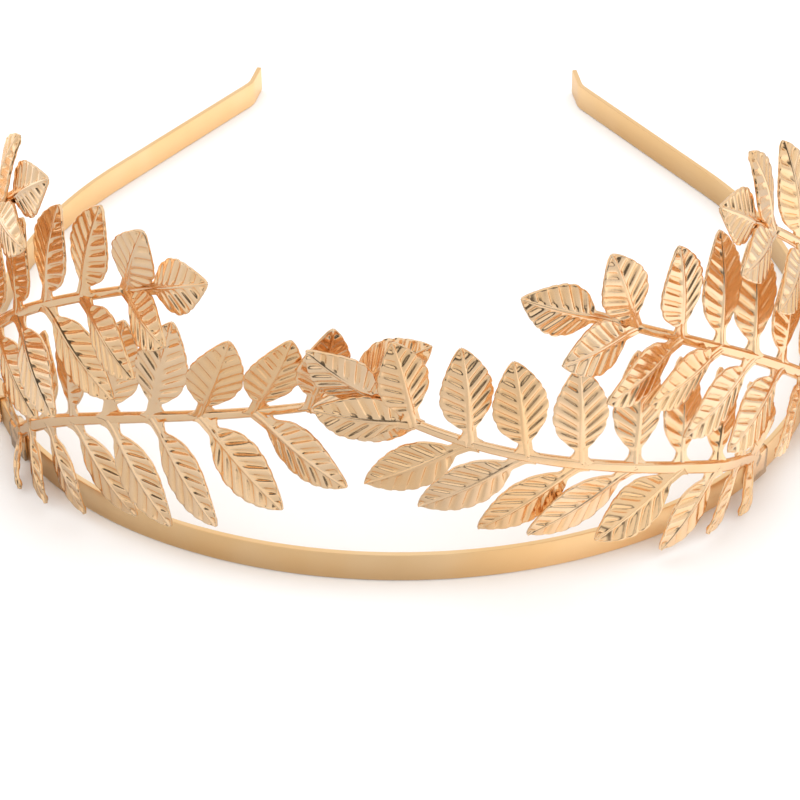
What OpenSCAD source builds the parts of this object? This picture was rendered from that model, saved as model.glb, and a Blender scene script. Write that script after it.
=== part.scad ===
/* [Band] */
// Height of the strip that the band is bent from
strip_h = 4.8; // [3:0.1:7]
// Thickness of the strip
strip_t = 0.9; // [0.6:0.05:1.4]
// Radius of the strip's middle line across the front
front_r = 77; // [70:1:90]
// Half the angle that the front bend turns through
front_turn = 28; // [24:1:32]
// Radius of the bends at the two sides
side_r = 61.5; // [56:0.5:70]
// Angle that each side bend turns through
side_turn = 62; // [56:1:66]
// Radius of the slack bends behind the sides
rear_r = 82.5; // [70:0.5:110]
// Angle that each slack bend turns through
rear_turn = 35; // [28:1:38]
// Straight length of each arm
arm_l = 37.5; // [20:0.5:42]
// Radius of the bend in front of each end
tip_r = 5; // [3:0.5:10]
// Angle that each end turns back out through
tip_turn = 25; // [10:1:35]
// Straight length of each end
tip_l = 5; // [3:0.5:10]

/* [Stems] */
// Height at which the highest stem ends
crown_h = 55; // [46:1:64]
// Width of a stem at its foot
stem_w = 2.4; // [1.8:0.1:3]
// Width of a stem at its tip
stem_tip_w = 1.5; // [1.2:0.1:2]
// Thickness of a stem
stem_t = 0.7; // [0.5:0.05:1]
// How far the front left stem stands off the strip
front_left_stand = 1.3; // [1.3:0.1:1.6]
// How far the front right stem stands off the strip
front_right_stand = 3.7; // [3.6:0.1:4]
// How far the upper stems stand off the strip
upper_stand = 4.6; // [4.4:0.1:5]
// How far the back stems stand off the strip
back_stand = 7.2; // [6.8:0.1:7.5]

/* [Leaves] */
// Length of the longest leaf with its stalk
leaf_l = 19.2; // [16:0.2:20]
// Width of the widest leaf
leaf_w = 8; // [6:0.2:8.4]
// Length of the leaf at the tip of each sprig with its stalk
end_leaf_l = 20.6; // [19:0.2:21]
// Thickness of the sheet that the leaves are stamped from
leaf_t = 0.45; // [0.35:0.05:0.6]
// Height of the rib above the rest of a leaf
rib_h = 0.25; // [0.1:0.05:0.4]
// Height of the bars that are pressed into a leaf
bar_h = 0.3; // [0.1:0.05:0.4]
// How far the middle of a leaf arches forward
arch_h = 0.6; // [0.2:0.1:1]
// Width of a leaf's stalk
stalk_w = 1.9; // [1.4:0.1:2.4]

/* [Feet] */
// Length of the tab that each stem ends in
tab_l = 5; // [4:0.5:7]
// Thickness of the tab
tab_t = 0.6; // [0.4:0.05:0.8]
// Clearance between the tab and the strip
tab_gap = 0.1; // [0.05:0.05:0.2]

/* [Hidden] */

gold = [0.86, 0.70, 0.49];
pale_gold = [0.90, 0.76, 0.58];
LEFT = -1;
RIGHT = 1;
UP = 1;
DOWN = -1;

// Columns: place along the stem from the foot, as a share of the stem,
// then the upper leaf's length, the lower leaf's length and the width of
// both, as shares of the longest and the widest leaf, then bars on a side.
PAIRS = [
    [0.03, 0.54, 0.54, 0.56, 2],
    [0.12, 0.66, 0.66, 0.68, 3],
    [0.23, 0.80, 0.80, 0.80, 3],
    [0.345, 0.92, 0.92, 0.92, 3],
    [0.475, 0.98, 0.98, 1.00, 4],
    [0.61, 1.00, 1.00, 1.00, 4],
    [0.74, 0.98, 0.98, 1.00, 4],
    [0.87, 0.94, 0.94, 0.98, 4],
    [1.00, 0.88, 0.80, 0.94, 3]
];
END_LEAF_WIDTH = 0.98;
END_LEAF_BARS = 4;

// Columns: side, foot and tip of the stem as shares of the strip from the
// middle of the front to the end of a side bend, height of the tip as a
// share of crown_h, and the stem's slope in degrees at the foot and the tip.
FRONT_LEFT = [LEFT, 0.66, 0.10, 0.58, 45, 15];
FRONT_RIGHT = [RIGHT, 0.61, 0.04, 0.57, 35, 30];
UPPER_LEFT = [LEFT, 0.77, 0.34, 0.88, 70, 25];
UPPER_RIGHT = [RIGHT, 0.81, 0.33, 0.79, 45, 30];
BACK_LEFT = [LEFT, 0.92, 0.53, 1.01, 50, 40];
BACK_RIGHT = [RIGHT, 0.93, 0.52, 0.97, 50, 40];

// One row for each pair from the foot to the tip, in degrees.
// Columns: upper leaf's turn away from the stem, its lift off the crown, and how far
// its edge nearer the tip is turned out, then the same three for the lower leaf.
// The last row is the end leaf's.
FRONT_LEFT_BENDS = [
    [50, 5, 10, 70, 25, 0],
    [50, 5, 10, 80, 15, 0],
    [65, -10, -5, 80, 5, 0],
    [60, -5, 10, 70, 0, -5],
    [55, -5, -20, 65, 10, -5],
    [55, 0, -10, 55, 20, 0],
    [50, 10, -20, 45, 20, -15],
    [50, 10, -25, 35, 20, 0],
    [60, 10, -30, 30, -10, 0],
    [18, -5, -30]
];
FRONT_RIGHT_BENDS = [
    [75, 0, 0, 55, 20, -10],
    [90, -15, -5, 60, 5, 0],
    [85, -20, -5, 65, 0, -10],
    [75, -15, 5, 40, 5, -25],
    [75, -10, 0, 50, -10, 5],
    [65, 5, -10, 60, -15, 0],
    [60, 5, 0, 55, -15, 0],
    [60, 5, 10, 55, -15, -5],
    [50, 10, 20, 10, 10, 0],
    [15, 5, -10]
];
UPPER_LEFT_BENDS = [
    [50, 0, 10, 65, 15, 10],
    [50, 0, 10, 60, 15, 5],
    [50, -5, 10, 60, 15, -5],
    [45, -5, -10, 60, 15, -5],
    [45, -5, 0, 60, 10, -15],
    [40, 0, 10, 60, 18, -20],
    [45, -3, 10, 55, 10, -15],
    [45, 0, 10, 40, 25, -10],
    [40, 15, 5, 25, 35, -20],
    [5, 15, -20]
];
UPPER_RIGHT_BENDS = [
    [50, 0, 10, 55, 15, 5],
    [50, 0, 10, 55, 15, 5],
    [55, 0, 10, 50, 15, 5],
    [60, -5, 10, 50, 15, 0],
    [60, -5, 0, 50, 10, -15],
    [60, -10, -10, 45, 10, -5],
    [60, -10, 5, 30, 15, 0],
    [50, 5, 10, 35, 20, 0],
    [40, 10, 5, 25, 20, -15],
    [0, 0, 5]
];
BACK_LEFT_BENDS = [
    [50, 0, 10, 55, 15, 5],
    [50, 0, 10, 55, 15, 5],
    [50, 0, 10, 55, 15, 5],
    [50, -5, 15, 55, 15, 5],
    [50, -5, 15, 50, 15, 5],
    [50, -5, 15, 50, 20, 5],
    [45, -5, 15, 45, 20, 5],
    [40, 0, 20, 40, 20, -15],
    [25, 0, 35, 30, 20, -20],
    [0, 5, -15]
];
BACK_RIGHT_BENDS = [
    [50, 0, 10, 55, 15, 5],
    [50, 0, 10, 55, 15, 5],
    [50, 0, 10, 55, 15, 5],
    [50, -5, 15, 55, 15, 5],
    [50, -5, 15, 50, 15, 5],
    [50, -5, 15, 50, 20, 5],
    [45, -10, 20, 45, 20, 5],
    [40, -10, 5, 40, 25, -15],
    [30, 0, 30, 30, 25, -20],
    [0, 10, 20]
];

// Shares of a leaf: its bare stalk, and the stalk of the end leaf
stalk_share = 0.16;
end_stalk_share = 0.38;
// Width of a leaf at its tip
tip_w = 0.3;
// Powers that shape a blade's oval: below 1, the first sets its widest place
// nearer the stalk, and the second makes its ends fuller
stalk_heavy = 0.86;
fullness = 0.84;
// How far the bars lean towards the tip, as a share of the blade
bar_lean = 0.2;
// How far the margin swells and dips with each bar
scallop = 0.05;
// How deep a leaf's root lies in its stem, and how high its rib is there
root_in = 0.3;
root_rise = 0.05;
// Share of the stem within which it comes off the strip to its stand-off
stand_reach = 0.25;
// Share of the distance between a stem's ends that steers its curve
steer = 0.34;
// Height of a stem's foot as a share of the strip
foot_share = 0.84;
// Pieces that a stem is made of
stem_steps = 16;
// Width of the bevels along a stem's front
stem_bevel = 0.4;
// How far a stem's back lies in front of the inner face of its tab
foot_rise = 0.05;
// Height of a tab's lower ends over the surface that the strip rests on
tab_clear = 0.3;
// How far the slot in a tab is cut past its ends
past = 1;
foot_stand = strip_t / 2 + tab_gap + foot_rise + stem_t / 2;

// The right half of the strip's middle line, from the middle of the front to its end.
// Columns: radius, or 0 where it is straight and negative where it turns back, and length.
per_degree = PI / 180;
STRETCHES = [
    [front_r, front_r * front_turn * per_degree],
    [side_r, side_r * side_turn * per_degree],
    [rear_r, rear_r * rear_turn * per_degree],
    [0, arm_l],
    [-tip_r, tip_r * tip_turn * per_degree],
    [0, tip_l]
];
function run_before(i) = i == 0 ? 0 : run_before(i - 1) + STRETCHES[i - 1][1];
side_end = run_before(2);
// The origin is level with the centres of the side bends, in the middle of the head opening
middle_front = [0, (front_r - side_r) * cos(front_turn) - front_r];

// Angle between neighbouring points of a bend in the band's outline
bend_step = 4;
stations = [
    0,
    for (i = [0:len(STRETCHES) - 1])
        let (
            r = STRETCHES[i][0],
            l = STRETCHES[i][1],
            n = r == 0 ? 1 : ceil(abs(l / r) / per_degree / bend_step)
        )
        for (k = [1:n]) run_before(i) + l * k / n
];

// Place and heading after a run a along a stretch of radius r that starts at p, heading t
function advanced(r, a, p, t) =
    r == 0
    ? [p + a * [cos(t), sin(t)], t]
    : let (end = t + a / r / per_degree) [p + r * [sin(end) - sin(t), cos(t) - cos(end)], end];

// Place and heading of the strip's middle line at a run a from the middle of the front
function on_strip(a, i = 0, p = middle_front, t = 0) =
    let (stretch = STRETCHES[i])
    a <= stretch[1] || i == len(STRETCHES) - 1
    ? advanced(stretch[0], a, p, t)
    : let (next = advanced(stretch[0], stretch[1], p, t))
        on_strip(a - stretch[1], i + 1, next[0], next[1]);

// A point at a height h over the strip's lower edge and a stand-off d outside its middle line
function over_strip(side, a, h, d) =
    let (place = on_strip(a), p = place[0], t = place[1])
    [side * (p[0] + d * sin(t)), p[1] - d * cos(t), h];

function outward(side, a) = let (t = on_strip(a)[1]) [side * sin(t), -cos(t), 0];
function unit(v) = v / norm(v);
function eased(q) = q <= 0 ? 0 : q >= 1 ? 1 : q * q * (3 - 2 * q);

// Run and height of a stem at a share t of its curve, from its foot to its tip
function stem_line(sprig, t) =
    let (
        foot = [sprig[1] * side_end, foot_share * strip_h],
        tip = [sprig[2] * side_end, sprig[3] * crown_h],
        pull = steer * norm(tip - foot),
        after_foot = foot + pull * [-cos(sprig[4]), sin(sprig[4])],
        before_tip = tip + pull * [cos(sprig[5]), -sin(sprig[5])],
        r = 1 - t
    )
    r * r * r * foot + 3 * r * r * t * after_foot + 3 * r * t * t * before_tip + t * t * t * tip;

function stem_point(sprig, stand, t) =
    let (
        q = stem_line(sprig, t),
        d = foot_stand + (stand - foot_stand) * eased(t / stand_reach)
    )
    over_strip(sprig[0], q[0], q[1], d);

// Axes of a stem at t: along it to the tip, up across it, and out of the crown
function stem_axes(sprig, stand, t) =
    let (
        nudge = 0.01,
        along = unit(stem_point(sprig, stand, t + nudge) - stem_point(sprig, stand, t - nudge)),
        n = outward(sprig[0], stem_line(sprig, t)[0]),
        out = unit(n - (n * along) * along)
    )
    [along, sprig[0] * cross(along, out), out];

function reversed(list) = [for (i = [len(list) - 1:-1:0]) list[i]];

// Closes rings with the same number of points each into one solid
module skin(rings) {
    n = len(rings[0]);
    last = len(rings) - 1;
    walls = [
        for (i = [0:last - 1], j = [0:n - 1])
            let (k = (j + 1) % n)
            each [
                [i * n + j, i * n + k, (i + 1) * n + k],
                [i * n + j, (i + 1) * n + k, (i + 1) * n + j]
            ]
    ];
    start = [[for (j = [n - 1:-1:0]) j]];
    end = [[for (j = [0:n - 1]) last * n + j]];
    polyhedron([for (r = rings, p = r) p], concat(walls, start, end));
}

// A flat bar through a stem at t, w wide and t_stem thick, with bevelled front edges
function stem_ring(sprig, stand, t) =
    let (
        p = stem_point(sprig, stand, t),
        f = stem_axes(sprig, stand, t),
        w = (stem_w + (stem_tip_w - stem_w) * t) / 2,
        b = min(stem_bevel, w / 2),
        back = p - f[2] * stem_t / 2,
        front = p + f[2] * stem_t / 2
    )
    [back - f[1] * w, front - f[1] * (w - b), front + f[1] * (w - b), back + f[1] * w];

module stem(sprig, stand) {
    rings = [for (i = [0:stem_steps]) stem_ring(sprig, stand, i / stem_steps)];
    skin(sprig[0] == RIGHT ? [for (r = rings) reversed(r)] : rings);
}

// Half the width of a blade at a share q of its length: a pointed oval
function blade_half(q, w) = w / 2 * pow(sin(180 * pow(q, stalk_heavy)), fullness);

// A ring across a leaf: two margins at x, a rib at rib_x, and two edges at the back
function leaf_ring(x, half, top, rib_x, rib_top) = [
    [x, half, top - leaf_t],
    [x, -half, top - leaf_t],
    [x, -half, top],
    [rib_x, 0, rib_top],
    [x, half, top]
];

// A ring of the blade at q. The rib's point lies nearer the stalk, so that the bars lean
function blade_ring(q, from, l, w, press) =
    let (
        half = max(q < 0.5 ? stalk_w / 2 : tip_w / 2, blade_half(q, w) * (1 + scallop * press)),
        rib = q - bar_lean * sin(180 * q)
    )
    leaf_ring(
        from + q * l, half, arch_h * sin(180 * q) + press * bar_h / 2 + leaf_t / 2,
        from + rib * l, arch_h * sin(180 * rib) + leaf_t / 2 + rib_h
    );

// A leaf along X from its root in the stem, with its front up and bars pressed into it
module leaf(l, w, bars, share) {
    stalk_l = l * share;
    steps = 2 * bars + 1;
    root = leaf_ring(-root_in, stalk_w / 2, leaf_t / 2, -root_in, leaf_t / 2 + root_rise);
    blade = [
        for (i = [0:steps])
            let (press = i == 0 || i == steps ? 0 : i % 2 == 1 ? 1 : -1)
            blade_ring(i / steps, stalk_l, l - stalk_l, w, press)
    ];
    skin(concat([root], blade));
}

// Sets its children on a stem at t: turned away from it, lifted off the crown and banked
module on_stem(sprig, stand, t, way, turn, lift, bank) {
    p = stem_point(sprig, stand, t);
    f = stem_axes(sprig, stand, t);
    flat = cos(turn) * f[0] + way * sin(turn) * f[1];
    x = cos(lift) * flat + sin(lift) * f[2];
    level = unit(cross(f[2], x));
    y = cos(bank) * level + sin(bank) * cross(x, level);
    z = cross(x, y);
    multmatrix([
        [x[0], y[0], z[0], p[0]],
        [x[1], y[1], z[1], p[1]],
        [x[2], y[2], z[2], p[2]]
    ])
        children();
}

// A block that follows the strip, between two runs, two stand-offs and two heights
module block(side, runs, stands, heights) {
    steps = 3;
    rings = [
        for (i = [0:steps])
            let (a = runs[0] + (runs[1] - runs[0]) * i / steps)
            [
                over_strip(side, a, heights[0], stands[0]),
                over_strip(side, a, heights[0], stands[1]),
                over_strip(side, a, heights[1], stands[1]),
                over_strip(side, a, heights[1], stands[0])
            ]
    ];
    skin(side == LEFT ? [for (r = rings) reversed(r)] : rings);
}

// The foot of a sprig: a tab folded over the strip's upper edge and down its inner face
module tab(sprig) {
    a = sprig[1] * side_end;
    runs = [a - tab_l / 2, a + tab_l / 2];
    inner = strip_t / 2 + tab_gap;
    outer = inner + tab_t;
    difference() {
        block(sprig[0], runs, [-outer, outer], [tab_clear, strip_h + tab_gap + tab_t]);
        block(sprig[0], runs + [-past, past], [-inner, inner], [-past, strip_h + tab_gap]);
    }
}

module sprig(place, stand, bends) {
    stem(place, stand);
    tab(place);
    for (i = [0:len(PAIRS) - 1], way = [UP, DOWN]) {
        pair = PAIRS[i];
        first = way == UP ? 0 : 3;
        bank = bends[i][first + 2] * place[0] * way;
        on_stem(place, stand, pair[0], way, bends[i][first], bends[i][first + 1], bank)
            leaf(leaf_l * pair[way == UP ? 1 : 2], leaf_w * pair[3], pair[4], stalk_share);
    }
    end_bend = bends[len(PAIRS)];
    on_stem(place, stand, 1, UP, end_bend[0], end_bend[1], end_bend[2])
        leaf(end_leaf_l, leaf_w * END_LEAF_WIDTH, END_LEAF_BARS, end_stalk_share);
}

// Points along one side of the right half of the band, at a stand-off d, from front to end
function band_side(d) = [for (a = stations) let (p = over_strip(RIGHT, a, 0, d)) [p[0], p[1]]];
function mirrored(points) = [for (p = points) [-p[0], p[1]]];

module band() color(gold) {
    outer = band_side(strip_t / 2);
    inner = band_side(-strip_t / 2);
    linear_extrude(strip_h)
        polygon(concat(
            reversed(mirrored(outer)), outer,
            reversed(inner), mirrored(inner)
        ));
}

module front_sprig_left() color(pale_gold) sprig(FRONT_LEFT, front_left_stand, FRONT_LEFT_BENDS);
module front_sprig_right() color(pale_gold) sprig(FRONT_RIGHT, front_right_stand, FRONT_RIGHT_BENDS);
module upper_sprig_left() color(pale_gold) sprig(UPPER_LEFT, upper_stand, UPPER_LEFT_BENDS);
module upper_sprig_right() color(pale_gold) sprig(UPPER_RIGHT, upper_stand, UPPER_RIGHT_BENDS);
module back_sprig_left() color(pale_gold) sprig(BACK_LEFT, back_stand, BACK_LEFT_BENDS);
module back_sprig_right() color(pale_gold) sprig(BACK_RIGHT, back_stand, BACK_RIGHT_BENDS);

band();
front_sprig_left();
front_sprig_right();
upper_sprig_left();
upper_sprig_right();
back_sprig_left();
back_sprig_right();
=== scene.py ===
"""A gold laurel wreath crown: an open flat band with six pressed laurel sprigs folded onto it."""

import math

import bpy
import numpy as np
from mathutils import Matrix, Vector


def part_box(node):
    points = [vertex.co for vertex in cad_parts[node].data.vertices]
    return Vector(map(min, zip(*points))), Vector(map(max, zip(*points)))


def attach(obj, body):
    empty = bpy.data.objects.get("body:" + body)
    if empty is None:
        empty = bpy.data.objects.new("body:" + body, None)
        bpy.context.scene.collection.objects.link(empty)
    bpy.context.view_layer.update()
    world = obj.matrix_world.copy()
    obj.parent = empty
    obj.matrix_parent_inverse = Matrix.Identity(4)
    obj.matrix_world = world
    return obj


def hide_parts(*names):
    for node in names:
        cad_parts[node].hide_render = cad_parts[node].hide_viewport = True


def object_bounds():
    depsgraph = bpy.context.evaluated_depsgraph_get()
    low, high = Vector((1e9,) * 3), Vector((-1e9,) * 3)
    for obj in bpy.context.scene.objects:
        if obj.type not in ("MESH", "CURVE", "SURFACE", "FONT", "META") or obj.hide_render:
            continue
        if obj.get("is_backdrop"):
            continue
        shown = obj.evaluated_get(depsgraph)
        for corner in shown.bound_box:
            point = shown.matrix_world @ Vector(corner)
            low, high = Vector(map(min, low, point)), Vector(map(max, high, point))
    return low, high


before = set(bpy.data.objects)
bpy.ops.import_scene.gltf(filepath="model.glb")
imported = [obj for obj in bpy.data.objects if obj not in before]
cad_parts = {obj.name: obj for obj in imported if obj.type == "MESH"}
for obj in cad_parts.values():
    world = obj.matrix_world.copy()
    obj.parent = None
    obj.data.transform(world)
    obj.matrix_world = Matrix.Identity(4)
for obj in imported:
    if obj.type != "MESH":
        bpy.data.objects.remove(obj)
cad_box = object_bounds()

# Band
# The band is one flat brass strip with its edges broken. It is rolled to an open U that springs
# round the head, its two ends are turned back out, and it is gold plated and brushed lengthwise.

MM = 0.001  # the shapes are worked out in millimetres, and put into the meshes in metres
STRIP_H = (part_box("band")[1].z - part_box("band")[0].z) / MM
STRIP_T = 0.9
FRONT_R, FRONT_TURN = 77.0, math.radians(28)
SIDE_R, SIDE_TURN = 61.5, math.radians(62)
REAR_R, REAR_TURN = 82.5, math.radians(35)
ARM_L = 37.5
TIP_R, TIP_TURN, TIP_L = 5.0, math.radians(25), 5.0
BROKEN_EDGE = 0.14
LONG_RINGS, TIP_RINGS = 150, 24  # rings of the mesh up to the turned-back tip, and along it

# The stretches of the right half, from the middle of the brow: radius, or 0 where it is straight
# and negative where it turns back, and length
STRETCHES = (
    (FRONT_R, FRONT_R * FRONT_TURN),
    (SIDE_R, SIDE_R * SIDE_TURN),
    (REAR_R, REAR_R * REAR_TURN),
    (0.0, ARM_L),
    (-TIP_R, TIP_R * TIP_TURN),
    (0.0, TIP_L),
)
SIDE_END = STRETCHES[0][1] + STRETCHES[1][1]
HALF_STRIP = sum(length for _, length in STRETCHES)
BROW_Y = (FRONT_R - SIDE_R) * math.cos(FRONT_TURN) - FRONT_R


def strip_place(run):
    """x, y and heading of the strip's middle line at each run from the middle of the brow.

    Each stretch turns evenly: from a start s and a heading h, a run a on a radius r ends at
    s + r (sin(h + a/r) - sin h, cos h - cos(h + a/r)), and a straight at s + a (cos h, sin h).
    """
    x, y, heading = np.zeros_like(run), np.full_like(run, BROW_Y), np.zeros_like(run)
    before = 0.0
    for radius, length in STRETCHES:
        a = np.clip(run - before, 0.0, length)
        if radius:
            end = heading + a / radius
            x = x + radius * (np.sin(end) - np.sin(heading))
            y = y + radius * (np.cos(heading) - np.cos(end))
            heading = end
        else:
            x, y = x + a * np.cos(heading), y + a * np.sin(heading)
        before += length
    return x, y, heading


def over_strip(side, run, height, stand):
    """Points at a height over the strip's lower edge and a stand-off outside its middle line."""
    x, y, heading = strip_place(run)
    return np.stack(
        [side * (x + stand * np.sin(heading)), y - stand * np.cos(heading), height + 0 * x], -1
    )


def rings_to_faces(rings, points):
    """Quads between neighbouring rings of a closed tube, in rows of four corners."""
    corner = np.arange(rings - 1)[:, None] * points
    here, after = np.arange(points), np.roll(np.arange(points), -1)
    quads = [corner + here, corner + points + here, corner + points + after, corner + after]
    return np.stack(quads, -1).reshape(-1, 4)


def closed_rings(rings, points):
    """Quads of a closed tube of rings, with its two ends closed by strips of quads."""
    a = np.arange(points // 2 - 1)
    end = np.stack([a, a + 1, points - 2 - a, points - 1 - a], -1)
    far = end[:, ::-1] + (rings - 1) * points
    return np.concatenate([rings_to_faces(rings, points), end, far])


def make_mesh(name, points, quads, marks):
    """A mesh object of quads, its points in millimetres, with one value of each mark a point."""
    mesh = bpy.data.meshes.new(name)
    mesh.vertices.add(len(points))
    mesh.vertices.foreach_set("co", (points * MM).astype(np.float32).ravel())
    mesh.loops.add(quads.size)
    mesh.loops.foreach_set("vertex_index", quads.astype(np.int32).ravel())
    mesh.polygons.add(len(quads))
    mesh.polygons.foreach_set("loop_start", np.arange(0, quads.size, 4, dtype=np.int32))
    mesh.update(calc_edges=True)
    for mark, values in marks.items():
        mesh.attributes.new(mark, "FLOAT", "POINT").data.foreach_set(
            "value", values.astype(np.float32).ravel()
        )
    mesh.shade_smooth()
    thing = bpy.data.objects.new(name, mesh)
    bpy.context.scene.collection.objects.link(thing)
    return thing


def rounded_strip(half_h, half_t, edge, corner_steps=4):
    """Outline of a strip's section, up and out: quarter circles of radius edge at its corners."""
    angle = np.linspace(0.0, math.pi / 2, corner_steps)
    up, out = edge * np.sin(angle), edge * np.cos(angle)
    quarter = np.stack([half_h - edge + up, half_t - edge + out], -1)
    upper = np.concatenate([quarter, (quarter * [1, -1])[::-1]])
    return np.concatenate([upper, (upper * [-1, 1])[::-1]])


def sweep_strip():
    """The section is carried along the whole strip, and drawn in at both ends to round them."""
    tip_start = HALF_STRIP - TIP_L - TIP_R * TIP_TURN
    run = np.concatenate(
        [
            np.linspace(0, tip_start, LONG_RINGS)[:-1],
            np.linspace(tip_start, HALF_STRIP - BROKEN_EDGE, TIP_RINGS),
        ]
    )
    run = np.concatenate([-run[:0:-1], run])
    angle = np.linspace(0, math.pi / 2, 4)[1:]
    end = HALF_STRIP - BROKEN_EDGE + BROKEN_EDGE * np.sin(angle)
    run = np.concatenate([-end[::-1], run, end])
    drawn_in = BROKEN_EDGE * np.clip((np.abs(run) - end[0]) / (end[-1] - end[0]), 0, 1) ** 2
    section = rounded_strip(STRIP_H / 2, STRIP_T / 2, BROKEN_EDGE)
    shrink = 1 - drawn_in[:, None, None] / np.array([STRIP_H / 2, STRIP_T / 2])
    up, out = np.moveaxis(section * shrink, -1, 0)
    far = np.abs(run)[:, None] + 0 * up
    points = over_strip(1.0, far, STRIP_H / 2 + up, out)
    points[..., 0] *= np.sign(run)[:, None] + (run == 0)[:, None]
    return points, run


band_points, band_run = sweep_strip()
rings, ring_points = band_points.shape[:2]
band = make_mesh(
    "band_strip",
    band_points.reshape(-1, 3),
    closed_rings(rings, ring_points),
    {"run": np.repeat(band_run * MM, ring_points)},
)


class Wire:
    """An output socket of a material. Arithmetic on wires and numbers adds Math nodes."""

    def __init__(self, tree, socket=None):
        self.tree, self.socket = tree, socket

    def node(self, kind, settings=None, inputs=None, out=0):
        """Adds a node: its settings come first, then the values or wires of its sockets."""
        made = self.tree.nodes.new(kind)
        for name, value in (settings or {}).items():
            setattr(made, name, value)
        for name, value in (inputs or {}).items():
            socket = next(s for s in made.inputs if name in (s.identifier, s.name))
            if isinstance(value, Wire):
                self.tree.links.new(value.socket, socket)
            else:
                socket.default_value = value
        found = out if isinstance(out, int) else [s.identifier for s in made.outputs].index(out)
        return Wire(self.tree, made.outputs[found] if made.outputs else None)

    def math(self, operation, a, b=0.0):
        """A Math node on two values or wires."""
        return self.node("ShaderNodeMath", {"operation": operation}, {"Value": a, "Value_001": b})

    def __add__(self, other):
        return self.math("ADD", self, other)

    def __sub__(self, other):
        return self.math("SUBTRACT", self, other)

    def __rsub__(self, other):
        return self.math("SUBTRACT", other, self)

    def __mul__(self, other):
        return self.math("MULTIPLY", self, other)

    __radd__, __rmul__ = __add__, __mul__

    def ramp(self, low, high):
        """0 below low, 1 above high, and smooth between."""
        return self.node(
            "ShaderNodeMapRange",
            {"interpolation_type": "SMOOTHSTEP"},
            {"Value": self, "From Min": low, "From Max": high},
        )

    def blend(self, zero, one):
        """The colour zero where this wire is 0, and the colour one where it is 1."""
        return self.node(
            "ShaderNodeMix",
            {"data_type": "RGBA"},
            {"Factor_Float": self, "A_Color": zero, "B_Color": one},
            "Result_Color",
        )

    def noise(self, at, scale, detail=2.0):
        """Soft noise from 0 to 1 at a place, finer with a larger scale."""
        inputs = {"Vector": at, "Scale": scale, "Detail": detail}
        return self.node("ShaderNodeTexNoise", {}, inputs)

    def attribute(self, name):
        """The value of one of the mesh's own marks."""
        return self.node("ShaderNodeAttribute", {"attribute_name": name}, {}, "Fac")


def new_metal(name):
    """A material with an empty node tree, and a wire to start its nodes from."""
    material = bpy.data.materials.new(name)
    material.use_nodes = True
    material.node_tree.nodes.clear()
    return material, Wire(material.node_tree)


def finish_metal(start, colour, roughness, height, depth):
    """Ends a material in a metal: its colour, roughness and a relief of that depth in metres."""
    normal = start.node("ShaderNodeBump", {}, {"Height": height, "Distance": depth})
    shader = start.node(
        "ShaderNodeBsdfPrincipled",
        {},
        {"Base Color": colour, "Metallic": 1.0, "Roughness": roughness, "Normal": normal},
    )
    start.node("ShaderNodeOutputMaterial", {}, {"Surface": shader})


BAND_GOLD = (0.95, 0.62, 0.30, 1)
BAND_GOLD_WORN = (0.97, 0.68, 0.38, 1)
BRUSH_ALONG, BRUSH_ACROSS, BRUSH_DEPTH = 60, 5200, 0.000006  # per metre, per metre, in metres
BAND_DULL, BRUSH_DULL, CLOUD_DULL = 0.27, 0.1, 0.05
BAND_CLOUDS, WORN_CLOUDS = 55.0, (0.35, 0.7)

band_gold, start = new_metal("band_gold")
place = start.node("ShaderNodeTexCoord", {}, {}, "Object")
height = start.node("ShaderNodeSeparateXYZ", {}, {"Vector": place}, "Z")
# The brushing: noise drawn out along the strip, on its run and its height
along = start.node(
    "ShaderNodeCombineXYZ",
    {},
    {"X": start.attribute("run") * BRUSH_ALONG, "Y": height * BRUSH_ACROSS},
)
brushed = start.noise(along, 1.0, 3.0)
clouds = start.noise(place, BAND_CLOUDS)
finish_metal(
    start,
    clouds.ramp(*WORN_CLOUDS).blend(BAND_GOLD, BAND_GOLD_WORN),
    BAND_DULL + BRUSH_DULL * brushed + CLOUD_DULL * clouds,
    brushed,
    BRUSH_DEPTH,
)
band.data.materials.append(band_gold)
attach(band, "root")
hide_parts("band")

# Stems and tabs
# Each sprig has a stem, a flat brass rod with bevelled front edges that curves up over the strip
# and away from it. Its foot is soldered to a tab, which is folded over the strip and pinched.

LEFT, RIGHT = -1.0, 1.0
UP, DOWN = 1.0, -1.0
CROWN_H = 55.0
STEM_W, STEM_TIP_W, STEM_T = 2.4, 1.5, 0.7
STEM_BEVEL, STEM_EDGE = 0.4, 0.07
BEVEL_DROPS = (0.01, 0.06)  # how far the bevel's first two points lie under the stem's front
STEM_RINGS, TAB_RINGS, FOLD_POINTS = 61, 7, 5
TAB_L, TAB_T, TAB_GAP, TAB_LIFT = 5.0, 0.6, 0.1, 0.3
TAB_FOLD, TAB_EDGE = 0.15, 0.08  # radius inside the fold, and of the broken edges
FOOT_RISE = 0.05
FOOT_STAND = STRIP_T / 2 + TAB_GAP + FOOT_RISE + STEM_T / 2
FOOT_SHARE = 0.84  # height of a foot, as a share of the strip
STAND_REACH = 0.25  # share of the stem within which it comes off the strip
STEER = 0.34  # share of the distance between a stem's ends that steers its curve

# Side, foot and tip as shares of the strip from the middle of the brow to the end of a side bend,
# height of the tip as a share of CROWN_H, slopes at the foot and the tip, and stand-off. These
# follow a solver's fit to the photograph, rounded.
STEMS = {
    "front_left": (LEFT, 0.66, 0.10, 0.58, 45, 15, 1.3),
    "front_right": (RIGHT, 0.61, 0.04, 0.57, 35, 30, 3.7),
    "upper_left": (LEFT, 0.77, 0.34, 0.88, 70, 25, 4.6),
    "upper_right": (RIGHT, 0.81, 0.33, 0.79, 45, 30, 4.6),
    "back_left": (LEFT, 0.92, 0.53, 1.01, 50, 40, 7.2),
    "back_right": (RIGHT, 0.93, 0.52, 0.97, 50, 40, 7.2),
}


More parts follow.
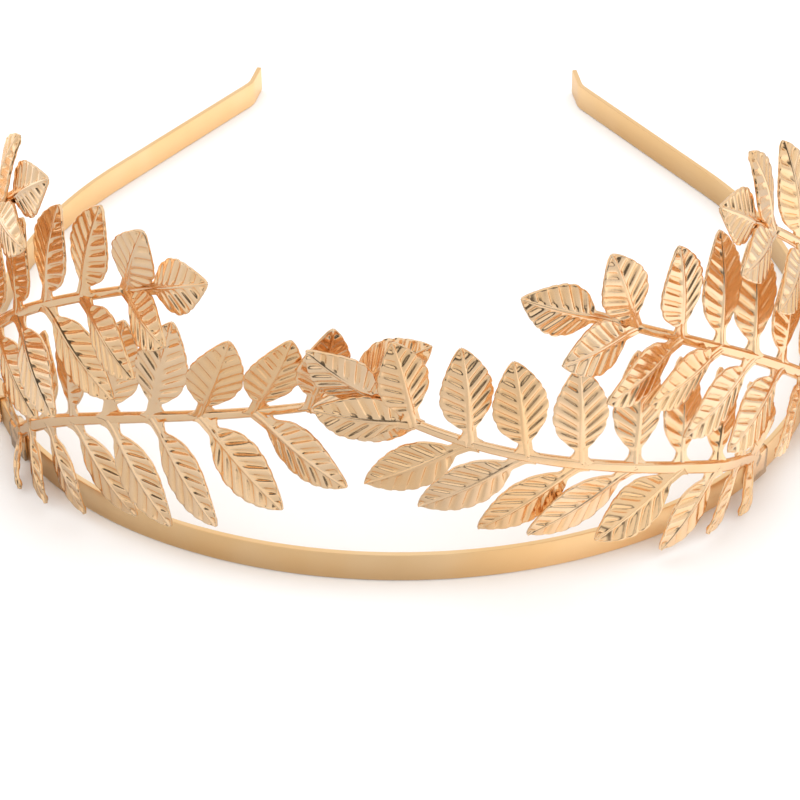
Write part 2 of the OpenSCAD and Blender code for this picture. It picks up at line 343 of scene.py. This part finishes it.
def unit(vectors):
    """Each vector at a length of 1."""
    return vectors / np.linalg.norm(vectors, axis=-1, keepdims=True)


def stem_point(stem, t):
    """A stem's middle line at shares t of its length.

    Run and height follow a cubic curve through the foot and the tip, steered by their slopes.
    The stand-off grows from the foot's to the stem's own along a smooth step of t.
    """
    side, foot, tip, height, foot_slope, tip_slope, stand = stem
    foot = np.array([foot * SIDE_END, FOOT_SHARE * STRIP_H])
    tip = np.array([tip * SIDE_END, height * CROWN_H])
    pull = STEER * np.linalg.norm(tip - foot)
    a, b = math.radians(foot_slope), math.radians(tip_slope)
    after = foot + pull * np.array([-math.cos(a), math.sin(a)])
    before = tip + pull * np.array([math.cos(b), -math.sin(b)])
    t = np.asarray(t, float)[..., None]
    r = 1 - t
    line = r**3 * foot + 3 * r * r * t * after + 3 * r * t * t * before + t**3 * tip
    q = np.clip(t[..., 0] / STAND_REACH, 0, 1)
    off = FOOT_STAND + (stand - FOOT_STAND) * q * q * (3 - 2 * q)
    return over_strip(side, line[..., 0], line[..., 1], off), line[..., 0]


def stem_axes(stem, t):
    """Axes of a stem at t: along it to the tip, up across it, and out of the crown."""
    nudge = 0.01
    along = unit(stem_point(stem, t + nudge)[0] - stem_point(stem, t - nudge)[0])
    heading = strip_place(stem_point(stem, t)[1])[2]
    outward = np.stack([stem[0] * np.sin(heading), -np.cos(heading), 0 * heading], -1)
    out = unit(outward - (outward * along).sum(-1, keepdims=True) * along)
    return along, stem[0] * np.cross(along, out), out


def stem_width(t):
    """The width narrows evenly from the foot to the tip."""
    return STEM_W + (STEM_TIP_W - STEM_W) * t


def stem_shape(stem):
    """The section, a flat bar with bevelled front edges, is carried from the foot to the tip."""
    t = np.linspace(0, 1, STEM_RINGS)
    half = stem_width(t)[:, None] / 2
    bevel, edge, front = STEM_BEVEL, STEM_EDGE, STEM_T / 2
    # Half the section, from the front round to the back: distance in from the side, and height
    inward = np.array([bevel + edge, bevel, bevel - edge, edge, 0, 0, edge])
    rise = np.array(
        [front, front - BEVEL_DROPS[0], front - BEVEL_DROPS[1], edge, -edge, edge - front, -front]
    )
    across = half - inward
    across = np.concatenate([-across[:, ::-1], across], 1)
    rise = np.concatenate([rise[::-1], rise]) + 0 * across
    along, _, out = stem_axes(stem, t)
    level = np.cross(out, along)
    point = stem_point(stem, t)[0][:, None]
    return point + across[..., None] * level[:, None] + rise[..., None] * out[:, None]


def folded_leg(face, bend):
    """Half the outline of a folded sheet: up its leg, then a quarter circle round the fold."""
    turn = np.linspace(0, math.pi / 2, FOLD_POINTS)
    centre_out, centre_up = STRIP_T / 2 + TAB_GAP - TAB_FOLD, STRIP_H + TAB_GAP - TAB_FOLD
    fold = np.stack([centre_out + bend * np.cos(turn), centre_up + bend * np.sin(turn)], -1)
    return np.concatenate([[[face, TAB_LIFT + TAB_EDGE]], fold])


def tab_shape(stem):
    """The tab's section is a sheet bent round the strip's top, and it is carried along the strip."""
    side, foot = stem[0], stem[1] * SIDE_END
    inner, outer = STRIP_T / 2 + TAB_GAP, STRIP_T / 2 + TAB_GAP + TAB_T
    over, under = folded_leg(outer, TAB_FOLD + TAB_T), folded_leg(inner, TAB_FOLD)
    cut = np.array([[inner + TAB_EDGE, TAB_LIFT], [outer - TAB_EDGE, TAB_LIFT]])
    other = [-1, 1]
    section = np.concatenate(
        [over, (over * other)[::-1], (cut * other)[::-1], under * other, under[::-1], cut]
    )
    stand, height = section[:: int(side)].T
    run = foot + TAB_L * np.linspace(-0.5, 0.5, TAB_RINGS)[:, None]
    return over_strip(side, run + 0 * stand, height + 0 * run, stand)


# Leaves
# Each sprig carries nine pairs of laurel leaves and one at its tip. They are stamped from brass
# sheet with a flat midrib and slanting bars, trimmed, soldered on by their stalks and bent by hand.

LEAF_L, LEAF_W, END_LEAF_L = 19.2, 8.0, 20.6
LEAF_T, TRIM = 0.45, 0.22
STALK_W, STALK_SHARE, END_STALK_SHARE = 1.9, 0.16, 0.38
TIP_W = 0.3
ROOT_IN = 0.3
ARCH_H = 0.6
ROOF_H = 0.15
RIB_HALF, RIB_TIP_HALF, RIB_RISE = 0.46, 0.14, 0.09
PRESS_DEPTH = 0.27
RIB_MOST = 0.42  # most of the half leaf that the midrib takes up
RIB_TOP = 0.72  # share of the midrib that is flat
SCALLOP = 0.02
RIM = 0.06
BAR_LEAN, LEAN_SKEW, OVAL_SKEW = 0.24, 1.2, 0.86
BLUNT, END_BLUNT = {UP: 0.7, DOWN: 0.74}, 0.76
BARS_START, BARS_END = (0.02, 0.08), (0.95, 1.0)  # shares of the blade where the bars fade
STALK_FADE = (0.6, 1.3)  # lengths of the stalk between which its form gives way to the blade's
STALK_SUNK, STALK_STEP = 0.02, 0.12  # under the stem's front, and from the stalk's ridge to its sides
STALK_RINGS = 14
TIP_ROWS = np.array([-0.04, -0.02, 0.0])  # the last rows before the tip, in bars
SEARCH_STEPS = 500
BEND_LOW, BEND_HIGH = (-0.25, -0.1, -0.04), (0.2, 0.08, 0.04)  # of a leaf's bow, cup and twist
WEB, WEB_REACH, WEB_INNER = 1.0, 1.5, 0.6
WEB_TURN = 28  # a leaf that lies closer to its stem than this has no webs
NO_WEB = -9.0
END_LEAF_WIDTH = 0.98

# Place along the stem, length of the upper and the lower leaf and width of both as shares of
# the longest and the widest leaf, and bars on each side
PAIRS = (
    (0.03, 0.54, 0.54, 0.56, 3),
    (0.12, 0.66, 0.66, 0.68, 4),
    (0.23, 0.80, 0.80, 0.80, 5),
    (0.345, 0.92, 0.92, 0.92, 6),
    (0.475, 0.98, 0.98, 1.00, 7),
    (0.61, 1.00, 1.00, 1.00, 7),
    (0.74, 0.98, 0.98, 1.00, 7),
    (0.87, 0.94, 0.94, 0.98, 7),
    (1.00, 0.88, 0.80, 0.94, 6),
)
END_LEAF_BARS = 7

# How each sprig's leaves are bent, in degrees, a row for each pair from the foot to the tip:
# the upper leaf's turn away from the stem, its lift off the crown, and how far its edge nearer
# the tip is turned out, then the lower leaf's. The last row is the end leaf's. Most angles of the
# leaves that show follow a solver's fit to the photograph, in steps of 5 degrees.
BENDS = {
    "front_left": (
        (50, 5, 10, 70, 25, 0),
        (50, 5, 10, 80, 15, 0),
        (65, -10, -5, 80, 5, 0),
        (60, -5, 10, 70, 0, -5),
        (55, -5, -20, 65, 10, -5),
        (55, 0, -10, 55, 20, 0),
        (50, 10, -20, 45, 20, -15),
        (50, 10, -25, 35, 20, 0),
        (60, 10, -30, 30, -10, 0),
        (18, -5, -30),
    ),
    "front_right": (
        (75, 0, 0, 55, 20, -10),
        (90, -15, -5, 60, 5, 0),
        (85, -20, -5, 65, 0, -10),
        (75, -15, 5, 40, 5, -25),
        (75, -10, 0, 50, -10, 5),
        (65, 5, -10, 60, -15, 0),
        (60, 5, 0, 55, -15, 0),
        (60, 5, 10, 55, -15, -5),
        (50, 10, 20, 10, 10, 0),
        (15, 5, -10),
    ),
    "upper_left": (
        (50, 0, 10, 65, 15, 10),
        (50, 0, 10, 60, 15, 5),
        (50, -5, 10, 60, 15, -5),
        (45, -5, -10, 60, 15, -5),
        (45, -5, 0, 60, 10, -15),
        (40, 0, 10, 60, 18, -20),
        (45, -3, 10, 55, 10, -15),
        (45, 0, 10, 40, 25, -10),
        (40, 15, 5, 25, 35, -20),
        (5, 15, -20),
    ),
    "upper_right": (
        (50, 0, 10, 55, 15, 5),
        (50, 0, 10, 55, 15, 5),
        (55, 0, 10, 50, 15, 5),
        (60, -5, 10, 50, 15, 0),
        (60, -5, 0, 50, 10, -15),
        (60, -10, -10, 45, 10, -5),
        (60, -10, 5, 30, 15, 0),
        (50, 5, 10, 35, 20, 0),
        (40, 10, 5, 25, 20, -15),
        (0, 0, 5),
    ),
    "back_left": (
        (50, 0, 10, 55, 15, 5),
        (50, 0, 10, 55, 15, 5),
        (50, 0, 10, 55, 15, 5),
        (50, -5, 15, 55, 15, 5),
        (50, -5, 15, 50, 15, 5),
        (50, -5, 15, 50, 20, 5),
        (45, -5, 15, 45, 20, 5),
        (40, 0, 20, 40, 20, -15),
        (25, 0, 35, 30, 20, -20),
        (0, 5, -15),
    ),
    "back_right": (
        (50, 0, 10, 55, 15, 5),
        (50, 0, 10, 55, 15, 5),
        (50, 0, 10, 55, 15, 5),
        (50, -5, 15, 55, 15, 5),
        (50, -5, 15, 50, 15, 5),
        (50, -5, 15, 50, 20, 5),
        (45, -10, 20, 45, 20, 5),
        (40, -10, 5, 40, 25, -15),
        (30, 0, 30, 30, 25, -20),
        (0, 10, 20),
    ),
}

# Shares of a bar's pitch: the flat top, the wall down into the pressed pocket, its floor, and
# the wall up to the next top, with rows of the mesh close together on the walls
WALL_DOWN = (0.34, 0.58)
WALL_UP = (0.76, 1.0)
BAR_ROWS = np.array([0, 0.17, 0.34, 0.41, 0.46, 0.51, 0.58, 0.67, 0.76, 0.83, 0.88, 0.93])
# Shares of the half blade from the midrib to the margin, and how deep the pockets are there
POCKET_ACROSS = np.array([0.04, 0.13, 0.24, 0.5, 0.76, 0.91, 1.0])
POCKET_DEPTH = np.array([0.0, 0.8, 1.0, 1.0, 0.95, 0.6, 0.2])


def smooth_step(x, low, high):
    """0 below low, 1 above high, and q q (3 - 2 q) between, q being the share of the way."""
    q = np.clip((x - low) / (high - low), 0, 1)
    return q * q * (3 - 2 * q)


def lean(q):
    """How far a bar's outer end lies ahead of its inner end at a share q of the blade."""
    return BAR_LEAN * np.sin(math.pi * q**LEAN_SKEW)


def leaf_rows(bars):
    """Shares of the blade at the margin and at the midrib for each row, and the count of bars."""
    count = (np.arange(bars)[:, None] + BAR_ROWS).ravel()
    count = np.concatenate([count, bars + TIP_ROWS])
    share = np.linspace(0, 1, SEARCH_STEPS)
    q = np.interp(count / bars, share - lean(share) / 2, share)
    return q, q - lean(q), count


def leaf_outline(length, width, bars, stalk, bluntness, webs):
    """The rows of a leaf: place at the margin and at the midrib, and how far each side reaches.

    The half width is a pointed oval, width/2 sin(pi q^0.86)^bluntness, eased into the stalk, and a
    web widens the stalk where it leaves the stem's edge. The bars are a row of smooth steps, with
    a top of 1 between the pockets and 0 in them, and the margin is scalloped with them.
    """
    q, rib_q, count = leaf_rows(bars)
    neck = np.arange(STALK_RINGS) / STALK_RINGS
    on_stalk = np.concatenate([neck, np.ones(len(q))])
    q, rib_q, count = (np.concatenate([0 * neck, rows]) for rows in (q, rib_q, count))
    stalk_x = -ROOT_IN + (stalk + ROOT_IN) * on_stalk
    x_margin = stalk_x + q * (length - stalk)
    x_rib = stalk_x + rib_q * (length - stalk)

    oval = width / 2 * np.sin(math.pi * q**OVAL_SKEW).clip(0) ** bluntness
    phase = count % 1.0
    top = 1 - smooth_step(phase, *WALL_DOWN) + smooth_step(phase, *WALL_UP)
    oval = oval * (1 + SCALLOP * (2 * top - 1))
    narrowest = np.where(q < 0.5, STALK_W / 2, TIP_W / 2)
    half = (oval**4 + narrowest**4) ** 0.25
    sides = []
    for web_start in webs:
        past = x_margin - web_start
        away = np.where(past < 0, -past / WEB_INNER, past / WEB_REACH)
        sides.append(half + WEB * np.clip(1 - away, 0, 1) ** 2)
    return q, rib_q, count, x_margin, x_rib, half, sides, top


def leaf_side(q, half, rib, top, way):
    """Across, height and press of the columns on one side, in order from left to right.

    The blade falls in a low roof from the midrib's flat top. The bars are pressed into it: they
    end short of the midrib and fade to the margin, and towards the stalk and the tip.
    """
    blade = half - RIM - rib
    y = np.concatenate(
        [RIB_TOP * rib[:, None], rib[:, None], rib[:, None] + blade[:, None] * POCKET_ACROSS], 1
    )
    depth = np.concatenate([[0, 0], POCKET_DEPTH]) * smooth_step(q, *BARS_START)[:, None]
    depth = depth * (1 - smooth_step(q, *BARS_END))[:, None]
    press = 1 - depth * (1 - top[:, None])
    on_rib = np.concatenate([[1, 0], 0 * POCKET_ACROSS])
    out = y / half[:, None]
    z = ROOF_H * (1 - out) + RIB_RISE * on_rib - PRESS_DEPTH * (1 - press)
    order = slice(None, None, way)
    return way * y[:, order], z[:, order], press[:, order], out[:, order]


def rim(x, edge, level):
    """Two points round a leaf's edge in each row, from its front to its back."""
    upper = np.stack([x, edge, level - RIM], -1)
    lower = np.stack([x, edge, level - LEAF_T + RIM], -1)
    return np.stack([upper, lower], 1)


def leaf_shape(length, width, bars, stalk_share, bluntness, webs, bow, cup, twist):
    """A leaf along X from its root, its front up: points in rings, and how high each is pressed.

    Each ring crosses the leaf from margin to margin over the front and back under it. The height
    is an arch along the leaf, which is bowed too, and the pressed blade, whose sides are cupped.
    The stalk is a ridge level with the stem's front. The whole leaf is twisted along X.
    """
    stalk = length * stalk_share
    q, rib_q, count, x_margin, x_rib, half, sides, top = leaf_outline(
        length, width, bars, stalk, bluntness, webs
    )
    rib = np.minimum(RIB_HALF + (RIB_TIP_HALF - RIB_HALF) * q, RIB_MOST * half)
    left, right = leaf_side(q, sides[0], rib, top, -1), leaf_side(q, sides[1], rib, top, 1)
    middle = np.zeros((len(q), 1))
    y = np.concatenate([left[0], middle, right[0]], 1)
    z = np.concatenate([left[1], middle + ROOF_H + RIB_RISE, right[1]], 1)
    press = np.concatenate([left[2], middle + 1, right[2]], 1)
    out = np.concatenate([left[3], middle, right[3]], 1)
    z = z + cup * out**2

    flatten = smooth_step(x_margin, stalk * STALK_FADE[0], stalk * STALK_FADE[1])[:, None]
    front = STEM_T / 2 - STALK_SUNK - LEAF_T / 2
    beside = np.abs(y) > RIB_TOP * rib[:, None] + 0.01
    z = z * flatten + (1 - flatten) * (front - STALK_STEP * beside)
    arch = ARCH_H * np.sin(math.pi * rib_q) + bow * (x_rib / length) ** 2
    crest = max(ROOF_H + RIB_RISE, front)
    z = z.clip(None, crest) + arch[:, None] + LEAF_T / 2
    x = x_rib[:, None] + (x_margin - x_rib)[:, None] * out

    face = np.stack([x, y, z], -1)
    back = face - [0, 0, LEAF_T]
    right_rim = rim(x_margin, sides[1], z[:, -1])
    left_rim = rim(x_margin, -sides[0], z[:, 0])[:, ::-1]
    ring = np.concatenate([face, right_rim, back[:, ::-1], left_rim], 1)
    pressed = np.concatenate([press, press[:, -2:], press[:, ::-1], press[:, :2]], 1)
    turn = twist * ring[..., 0] / length
    y, z = ring[..., 1].copy(), ring[..., 2].copy()
    ring[..., 1] = y * np.cos(turn) - z * np.sin(turn)
    ring[..., 2] = y * np.sin(turn) + z * np.cos(turn)
    return ring, pressed, count


def leaf_faces(rings, points):
    """Quads of a leaf's tube of rings. Strips of quads between front and back close its ends."""
    columns = (points - 4) // 2
    front = np.arange(columns)
    back = points - 3 - front
    strip = np.stack([front[:-1], front[1:], back[1:], back[:-1]], -1)
    rims = np.array(
        [[columns - 1, columns, columns + 1, columns + 2], [points - 3, points - 2, points - 1, 0]]
    )
    end = np.concatenate([strip, rims])
    return np.concatenate([rings_to_faces(rings, points), end, end[:, ::-1] + (rings - 1) * points])


def leaf_axes(stem, t, way, turn, lift, bank):
    """A leaf's place and axes on its stem: turned away from it, lifted and then banked."""
    point = stem_point(stem, np.array([t]))[0][0]
    along, across, out = (axis[0] for axis in stem_axes(stem, np.array([t])))
    turn, lift, bank = np.radians([turn, lift, bank])
    flat = math.cos(turn) * along + way * math.sin(turn) * across
    x = math.cos(lift) * flat + math.sin(lift) * out
    level = unit(np.cross(out, x))
    y = math.cos(bank) * level + math.sin(bank) * np.cross(x, level)
    return point, np.stack([x, y, np.cross(x, y)])


def web_starts(edge, turn):
    """Where the webs on a leaf's foot side and tip side start, which is on the stem's edge."""
    if turn < WEB_TURN:
        return [NO_WEB, NO_WEB]
    sine, cosine = math.sin(math.radians(turn)), math.cos(math.radians(turn))
    return [(edge - (STALK_W / 2 + WEB) * cosine) / sine, (edge + STALK_W / 2 * cosine) / sine]


def sprig_leaves(name, hand):
    """Every leaf of a sprig in place: rings, pressed heights, counts of bars, and its tone."""
    stem, bends = STEMS[name], BENDS[name]
    for (t, upper, lower, width, bars), bend in zip(PAIRS, bends):
        for way, share, (turn, lift, bank) in ((UP, upper, bend[:3]), (DOWN, lower, bend[3:])):
            ahead = stem[0] * way
            point, axes = leaf_axes(stem, t, way, turn, lift, bank * ahead)
            bow, cup, twist = hand.uniform(BEND_LOW, BEND_HIGH)
            webs = web_starts(stem_width(t) / 2, turn)[:: int(ahead)]
            size = (LEAF_L * share - TRIM, LEAF_W * width, bars, STALK_SHARE, BLUNT[way])
            shape = leaf_shape(*size, webs, bow, cup, twist)
            yield point, axes, shape, hand.uniform()
    turn, lift, bank = bends[-1]
    point, axes = leaf_axes(stem, 1.0, UP, turn, lift, bank)
    size = (END_LEAF_L, LEAF_W * END_LEAF_WIDTH, END_LEAF_BARS, END_STALK_SHARE, END_BLUNT)
    shape = leaf_shape(*size, [NO_WEB, NO_WEB], 0, 0, 0)
    yield point, axes, shape, hand.uniform()


PLAIN_MARKS = (1.0, 0.0, 0.5)  # press, bars and tone of what isn't a leaf


def sprig(name, hand):
    """One mesh of a sprig's stem, tab and leaves, with each leaf's marks for its finish; the press
    mark also paints shade into the pockets.
    """
    points, quads, marks, total = [], [], [], 0
    stem = STEMS[name]
    for rings in (stem_shape(stem), tab_shape(stem)):
        count, size = rings.shape[:2]
        points.append(rings.reshape(-1, 3))
        quads.append(closed_rings(count, size) + total)
        marks.append(np.repeat([PLAIN_MARKS], count * size, 0))
        total += count * size
    for point, axes, (rings, press, bars), tone in sprig_leaves(name, hand):
        count, size = rings.shape[:2]
        points.append((point + rings @ axes).reshape(-1, 3))
        quads.append(leaf_faces(count, size) + total)
        bars = np.repeat(bars[:, None], size, 1)
        marks.append(np.stack([press, bars, np.full_like(press, tone)], -1).reshape(-1, 3))
        total += count * size
    marks = np.concatenate(marks)
    named = {"press": marks[:, 0], "bars": marks[:, 1], "tone": marks[:, 2]}
    return make_mesh("laurel_" + name, np.concatenate(points), np.concatenate(quads), named)


LEAF_GOLD = (0.96, 0.65, 0.37, 1)
LEAF_GOLD_WARM = (0.95, 0.60, 0.30, 1)
LEAF_GOLD_PALE = (0.98, 0.71, 0.46, 1)
LEAF_CLOUDS, RIPPLES, RIPPLE_DEPTH = 160.0, 700.0, 0.00003
LEAF_DULL, WORN_DULL, POCKET_DULL = 0.13, 0.1, 0.06
LEAF_WORN = (0.4, 0.75)

leaf_gold, start = new_metal("leaf_gold")
place = start.node("ShaderNodeTexCoord", {}, {}, "Object")
press, tone = start.attribute("press"), start.attribute("tone")
clouds = start.noise(place, LEAF_CLOUDS)
ripple = start.noise(place, RIPPLES, 3.0)
colour = tone.ramp(0.0, 1.0).blend(LEAF_GOLD, LEAF_GOLD_PALE)
# The colour goes to the warmer, darker gold at random in clouds and in the pressed pockets; in the
# pockets it is painted shade.
worn_and_pocket_shade = clouds.ramp(*LEAF_WORN) * 0.5 + (1 - press) * 0.5
finish_metal(
    start,
    worn_and_pocket_shade.blend(colour, LEAF_GOLD_WARM),
    LEAF_DULL + WORN_DULL * clouds + POCKET_DULL * (1 - press),
    ripple,
    RIPPLE_DEPTH,
)

hand = np.random.default_rng(12)  # small differences of bending by hand, the same in each run
for name in STEMS:
    laurel = sprig(name, hand)
    laurel.data.materials.append(leaf_gold)
    where, side = name.split("_")
    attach(laurel, "root")
    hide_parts(f"{where}_sprig_{side}")

# Floor, light and camera
# The crown stands on its strip's lower edge on white paper, in an even white tent. To the metal alone
# the paper shows a painted colour: darker, with painted pools of light and painted black past its
# front edge. The metal also mirrors the dark room beyond and a gap in the tent on the left.

bpy.context.scene.view_settings.view_transform = "Standard"
FLOOR_SIZE, FLOOR_DROP = 6.0, 0.0002

floor_mesh = bpy.data.meshes.new("floor")
corners = [(-1, -1), (1, -1), (1, 1), (-1, 1)]
floor_mesh.from_pydata(
    [(x * FLOOR_SIZE / 2, y * FLOOR_SIZE / 2, -FLOOR_DROP) for x, y in corners], [], [(0, 1, 2, 3)]
)
floor = bpy.data.objects.new("floor", floor_mesh)
bpy.context.scene.collection.objects.link(floor)

# The paper is plain white to the camera. To the metal its colour is painted darker, which is painted
# shade, with a painted pool of light in front on the right, one behind on the left, and painted black
# past a front edge, in metres.
PAPER, PAPER_MIRRORED_PAINTED_SHADE, PAINTED_POOL_RIGHT, PAINTED_POOL_BEHIND = 0.9, 0.52, 0.38, 0.38
RIGHT_POOL_X, RIGHT_POOL_FRONT, RIGHT_POOL_BACK = (0.0, 0.035), (-0.105, -0.07), (-0.03, 0.02)
BACK_POOL_X, BACK_POOL_Y = (-0.03, 0.07), (-0.01, 0.05)
PAINTED_BLACK_FRONT, PAINTED_BLACK_LEFT = (-0.2, -0.185), (-0.14, -0.04)

paper = bpy.data.materials.new("paper_painted_light")
paper.use_nodes = True
paper.node_tree.nodes.clear()
sheet = Wire(paper.node_tree)
spot = sheet.node("ShaderNodeTexCoord", {}, {}, "Object")
across = sheet.node("ShaderNodeSeparateXYZ", {}, {"Vector": spot}, "X")
back = sheet.node("ShaderNodeSeparateXYZ", {}, {"Vector": spot}, "Y")
right = across.ramp(*RIGHT_POOL_X) * back.ramp(*RIGHT_POOL_FRONT)
right = right * (1 - back.ramp(*RIGHT_POOL_BACK))
behind = back.ramp(*BACK_POOL_Y) * (1 - across.ramp(*BACK_POOL_X))
mirrored = sheet.node("ShaderNodeLightPath", {}, {}, "Is Glossy Ray")
# Painted light: the paper's colour in the metal's mirror, darker, with painted pools of light and
# painted black past its front.
lit = PAPER_MIRRORED_PAINTED_SHADE + PAINTED_POOL_RIGHT * right + PAINTED_POOL_BEHIND * behind
lit = lit * (1 - (1 - back.ramp(*PAINTED_BLACK_FRONT)) * across.ramp(*PAINTED_BLACK_LEFT))
shade = PAPER - mirrored * (PAPER - lit)
surface = sheet.node(
    "ShaderNodeBsdfPrincipled",
    {},
    {"Base Color": shade.blend((0, 0, 0, 1), (1, 1, 1, 1)), "Roughness": 0.8},
)
sheet.node("ShaderNodeOutputMaterial", {}, {"Surface": surface})
floor_mesh.materials.append(paper)
floor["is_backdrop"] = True

# Directions are those that light comes from. The metal mirrors the dark room, a low band in front
# of the table, and the dark gap high on the left. All else is the tent's white.
TENT, TENT_MIRRORED, ROOM_DIM = 1.5, 0.9, 0.04
ROOM_AT, ROOM_EDGES, ROOM_TOP = (0.25, -0.97, 0.0), (0.74, 0.87), (0.08, 0.25)
GAP_AT, GAP_EDGES = (-0.8, -0.1, 0.55), (0.93, 0.975)

world = bpy.data.worlds.new("tent")
bpy.context.scene.world = world
world.use_nodes = True
world.node_tree.nodes.clear()
tent = Wire(world.node_tree)
towards = tent.node("ShaderNodeTexCoord", {}, {}, "Generated")


def near(direction):
    """The cosine of the angle between where light comes from and a direction."""
    unit_part = [part / math.hypot(*direction) for part in direction]
    inputs = {"Vector": towards, "Vector_001": unit_part}
    return tent.node("ShaderNodeVectorMath", {"operation": "DOT_PRODUCT"}, inputs, "Value")


above = tent.node("ShaderNodeSeparateXYZ", {}, {"Vector": towards}, "Z")
room = near(ROOM_AT).ramp(*ROOM_EDGES) * (1 - above.ramp(*ROOM_TOP))
dark = room + near(GAP_AT).ramp(*GAP_EDGES)
mirrored = tent.node("ShaderNodeLightPath", {}, {}, "Is Glossy Ray")
seen = TENT_MIRRORED - dark * (TENT_MIRRORED - ROOM_DIM)
sky = tent.node(
    "ShaderNodeBackground",
    {},
    {"Color": (1, 1, 1, 1), "Strength": TENT - mirrored * (TENT - seen)},
)
tent.node("ShaderNodeOutputWorld", {}, {"Surface": sky})

# The camera's place, in millimetres, its direction and its roll in degrees follow a solver's fit to
# the strip's edges in the photograph.
CAMERA_AT, CAMERA_LOOK, CAMERA_ROLL = (14.4, -358.0, 247.2), (-0.0335, 0.8083, -0.5878), -0.67

camera_data = bpy.data.cameras.new("camera")
camera_data.lens, camera_data.sensor_width = 116.0, 36.0
camera = bpy.data.objects.new("camera", camera_data)
bpy.context.scene.collection.objects.link(camera)
camera.matrix_world = (
    Matrix.Translation(Vector(CAMERA_AT) * MM)
    @ Vector(CAMERA_LOOK).to_track_quat("-Z", "Y").to_matrix().to_4x4()
    @ Matrix.Rotation(math.radians(CAMERA_ROLL), 4, "Z")
)
bpy.context.scene.camera = camera

boxes = {"cad": cad_box, "visual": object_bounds()}
{name: [list(corner) for corner in box] for name, box in boxes.items()}
